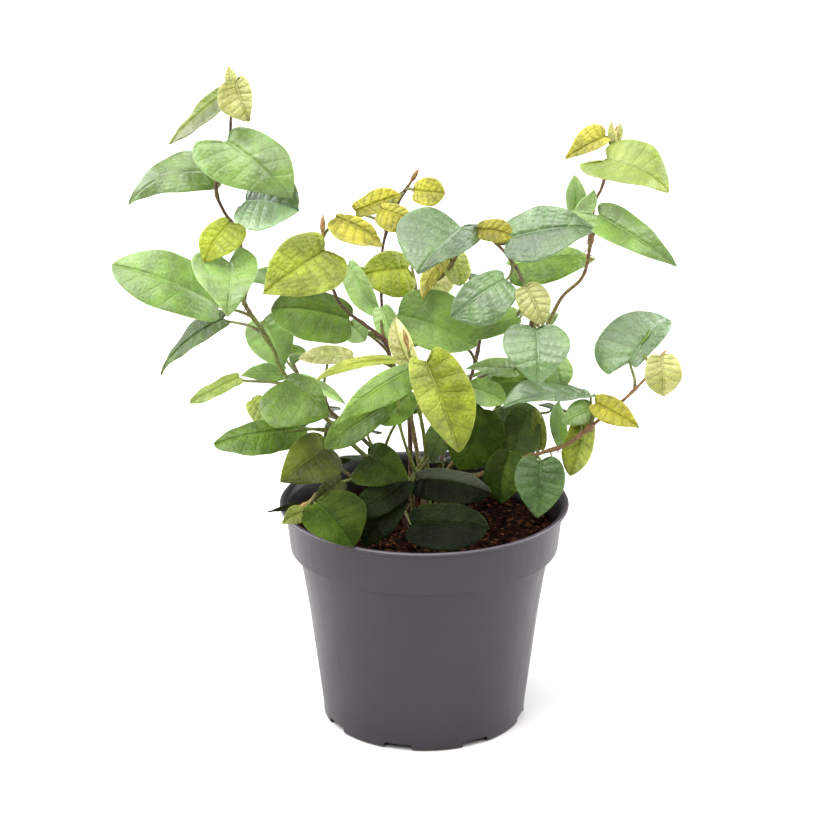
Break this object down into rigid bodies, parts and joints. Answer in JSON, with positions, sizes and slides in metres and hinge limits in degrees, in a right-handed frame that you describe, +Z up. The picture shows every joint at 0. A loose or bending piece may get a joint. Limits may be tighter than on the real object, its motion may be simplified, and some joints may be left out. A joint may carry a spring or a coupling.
{
  "type": "potted creeping fig",
  "caption": "Small trailing fig with heart-shaped leaves on wiry shoots, rooted in soil in a stepped, tapered nursery pot.",
  "frame": {"origin": "middle of the pot's flat underside", "axes": "+Z up along the pot's axis, +X to the right and -Y to the front as the plant is displayed"},
  "size_m": [0.1727, 0.1112, 0.2065],
  "materials": {
    "pot_plastic": "moulded, satin",
    "soil": "damp peat crumbs",
    "shoot_bark": "young bark",
    "leaf_young": "glossy young leaf",
    "leaf_fresh": "waxy leaf",
    "leaf_grown": "waxy leaf",
    "leaf_old": "waxy leaf"
  },
  "bodies": {
    "root": {"pot": "pot_plastic", "soil": "soil", "shoot_tall_left": "shoot_bark", "leaf_tall_left_01": "leaf_young", "leaf_tall_left_02": "leaf_fresh", "leaf_tall_left_03": "leaf_fresh", "leaf_tall_left_04": "leaf_fresh", "leaf_tall_left_05": "leaf_grown", "leaf_tall_left_06": "leaf_young", "leaf_tall_left_07": "leaf_fresh", "leaf_tall_left_08": "leaf_fresh", "leaf_tall_left_09": "leaf_grown", "leaf_tall_left_10": "leaf_young", "leaf_tall_left_11": "leaf_grown", "leaf_tall_left_12": "leaf_grown", "shoot_middle_left": "shoot_bark", "leaf_middle_left_01": "leaf_young", "leaf_middle_left_02": "leaf_young", "leaf_middle_left_03": "leaf_young", "leaf_middle_left_04": "leaf_young", "leaf_middle_left_05": "leaf_grown", "shoot_arching": "shoot_bark", "leaf_arching_01": "leaf_grown", "leaf_arching_02": "leaf_young", "leaf_arching_03": "leaf_grown", "leaf_arching_04": "leaf_old", "leaf_arching_05": "leaf_grown", "leaf_arching_06": "leaf_young", "leaf_arching_07": "leaf_grown", "leaf_arching_08": "leaf_grown", "shoot_tall_right": "shoot_bark", "leaf_tall_right_01": "leaf_young", "leaf_tall_right_02": "leaf_young", "leaf_tall_right_03": "leaf_fresh", "leaf_tall_right_04": "leaf_old", "shoot_low_right": "shoot_bark", "leaf_low_right_01": "leaf_grown", "leaf_low_right_02": "leaf_young", "leaf_low_right_03": "leaf_grown", "leaf_low_right_04": "leaf_old", "shoot_centre_front": "shoot_bark", "leaf_centre_front_01": "leaf_young", "leaf_centre_front_02": "leaf_grown", "shoot_low_front": "shoot_bark", "leaf_low_front_01": "leaf_old", "leaf_low_front_02": "leaf_grown", "leaf_low_front_03": "leaf_old", "leaf_low_front_04": "leaf_old", "leaf_low_front_05": "leaf_old", "shoot_back_left": "shoot_bark", "leaf_back_left_01": "leaf_fresh", "leaf_back_left_02": "leaf_grown", "leaf_back_left_03": "leaf_young", "leaf_back_left_04": "leaf_old", "shoot_back_right": "shoot_bark", "leaf_back_right_01": "leaf_fresh", "leaf_back_right_02": "leaf_grown", "leaf_back_right_03": "leaf_old", "leaf_back_right_04": "leaf_grown", "leaf_back_right_05": "leaf_young"}
  },
  "joints": []
}
